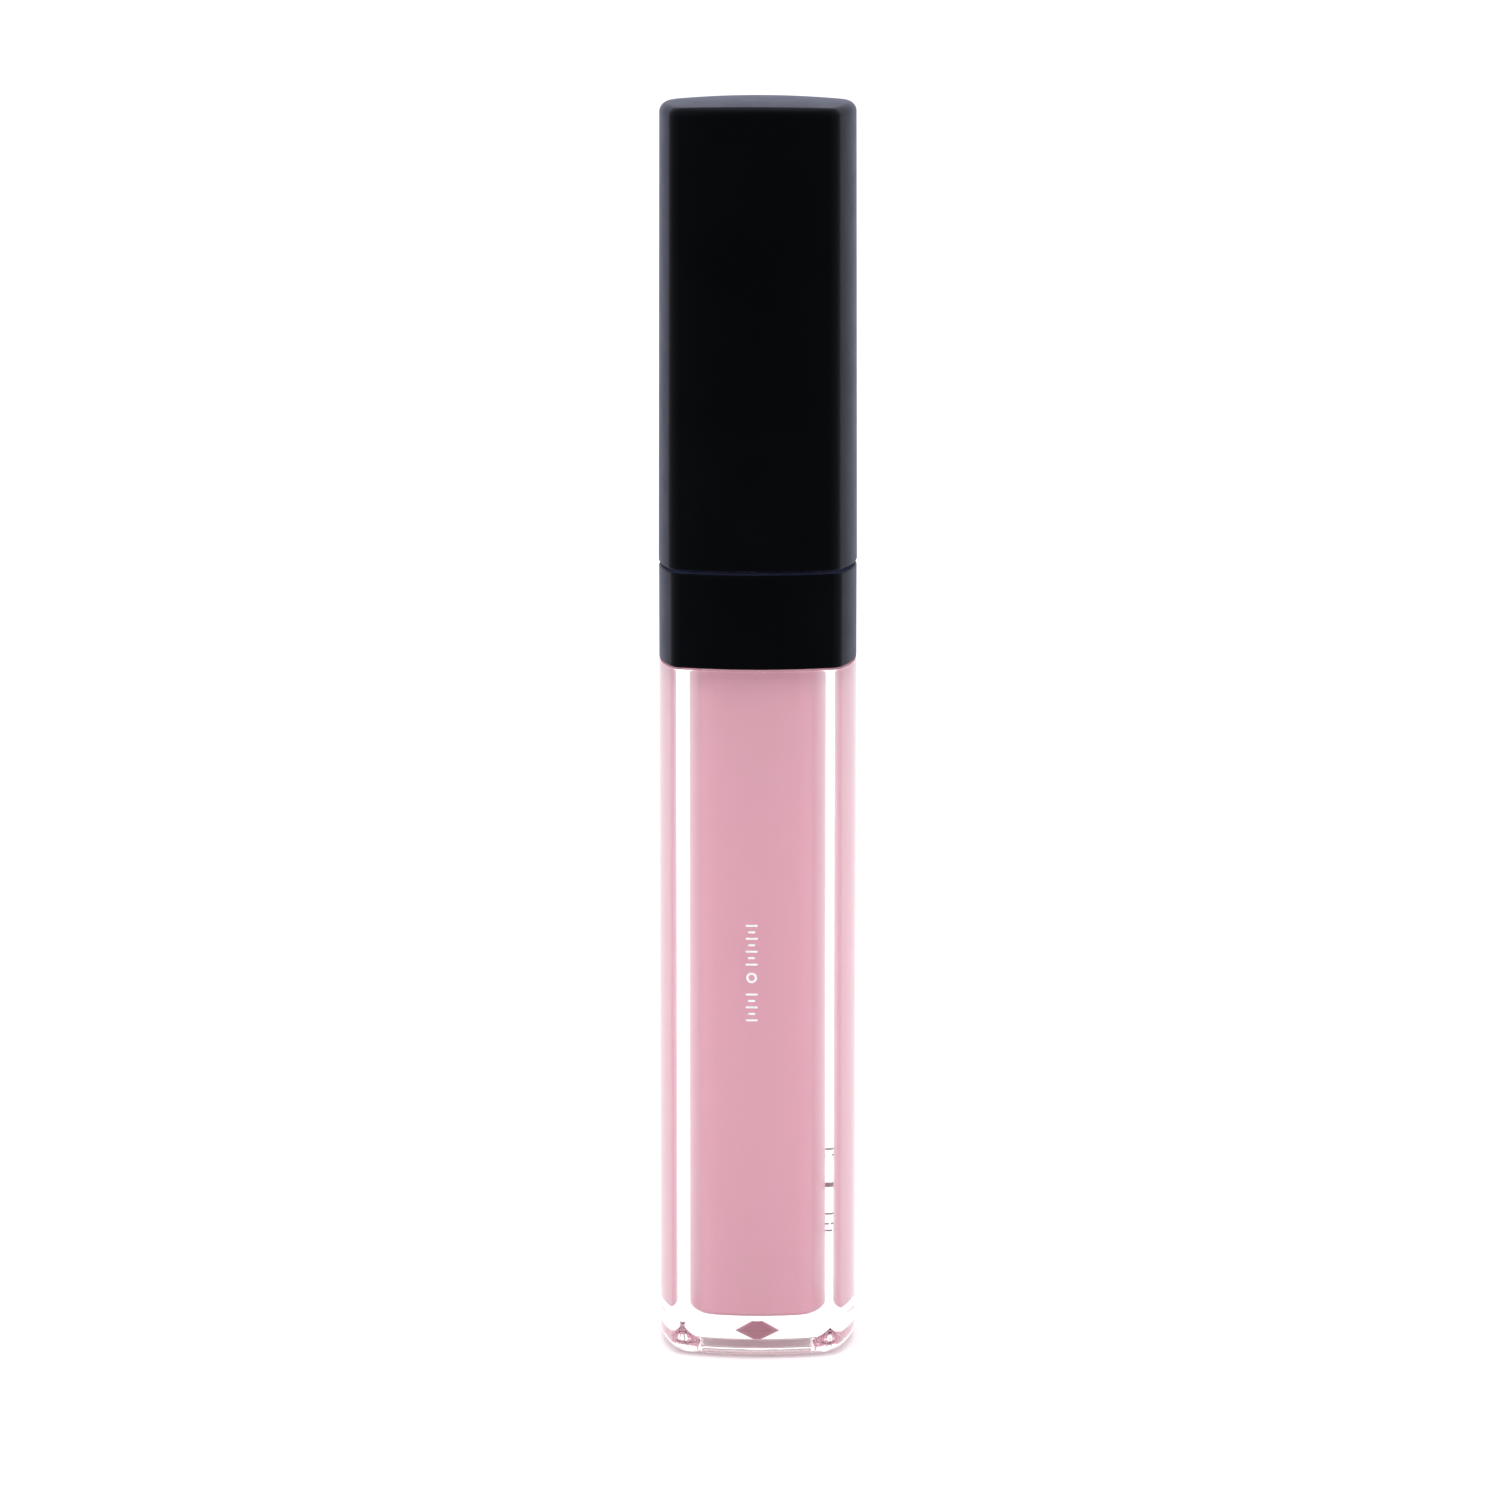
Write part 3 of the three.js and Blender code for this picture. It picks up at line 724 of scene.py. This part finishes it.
# ------------------------------------------------------------------ floor and soft studio light
ring = 6.0 * np.c_[np.cos(np.linspace(0, 2 * np.pi, 64, endpoint=False)), np.sin(np.linspace(0, 2 * np.pi, 64, endpoint=False))]
floor = add_object("floor", [(x, y, -0.0001) for x, y in ring], [tuple(range(64))], pale_floor(), smooth=False)
floor.visible_glossy = False

world = bpy.data.worlds.new("studio")
bpy.context.scene.world = world
world.use_nodes = True
wn = world.node_tree
for n in list(wn.nodes):
    wn.nodes.remove(n)
out = wn.nodes.new("ShaderNodeOutputWorld")
bg = wn.nodes.new("ShaderNodeBackground")
tc = wn.nodes.new("ShaderNodeTexCoord")
sep = wn.nodes.new("ShaderNodeSeparateXYZ")
wn.links.new(tc.outputs["Generated"], sep.inputs[0])
front = wn.nodes.new("ShaderNodeMapRange")        # 1 straight in front, 0 from the sides back
front.interpolation_type = "SMOOTHSTEP"
front.inputs["From Min"].default_value = -0.30
front.inputs["From Max"].default_value = -0.90
wn.links.new(sep.outputs["Y"], front.inputs["Value"])
path_kind = wn.nodes.new("ShaderNodeLightPath")
only_gloss = wn.nodes.new("ShaderNodeMath")
only_gloss.operation = "MULTIPLY"
wn.links.new(front.outputs["Result"], only_gloss.inputs[0])
mirror = wn.nodes.new("ShaderNodeMath")           # reflected, not refracted
mirror.operation = "SUBTRACT"
mirror.use_clamp = True
wn.links.new(path_kind.outputs["Is Glossy Ray"], mirror.inputs[0])
wn.links.new(path_kind.outputs["Is Transmission Ray"], mirror.inputs[1])
wn.links.new(mirror.outputs[0], only_gloss.inputs[1])
shade = wn.nodes.new("ShaderNodeMapRange")        # a dark flag in front, which only reflections see
shade.inputs["To Min"].default_value = 1.0
shade.inputs["To Max"].default_value = 0.25
wn.links.new(only_gloss.outputs[0], shade.inputs["Value"])
scale = wn.nodes.new("ShaderNodeMath")
scale.operation = "MULTIPLY"
scale.inputs[1].default_value = 1.22
wn.links.new(shade.outputs["Result"], scale.inputs[0])
wn.links.new(scale.outputs[0], bg.inputs["Strength"])

bg.inputs["Color"].default_value = (1.0, 1.0, 1.0, 1)
wn.links.new(bg.outputs["Background"], out.inputs["Surface"])


def softbox(name, where, at, size, power, colour=(1, 1, 1)):
    d = bpy.data.lights.new(name, "AREA")
    d.shape = "RECTANGLE"
    d.size, d.size_y = size
    d.energy = power
    d.color = colour
    o = bpy.data.objects.new(name, d)
    bpy.context.scene.collection.objects.link(o)
    o.location = where
    o.rotation_mode = "QUATERNION"
    o.rotation_quaternion = (Vector(at) - Vector(where)).to_track_quat("-Z", "Y")
    return o


softbox("key", (-0.45, -0.25, 0.55), (0, 0, 0.05), (0.4, 0.5), 0.5)
softbox("fill", (0.55, -0.15, 0.35), (0, 0, 0.05), (0.3, 0.5), 0.3)
softbox("overhead", (0, 0.12, 0.95), (0, 0, 0.1), (0.6, 0.6), 3.2, (0.93, 0.96, 1.0))

scene = bpy.context.scene
scene.view_settings.view_transform = "Standard"
scene.view_settings.look = "None"
scene.cycles.max_bounces = 24
scene.cycles.diffuse_bounces = 8
scene.cycles.glossy_bounces = 12
scene.cycles.transmission_bounces = 16
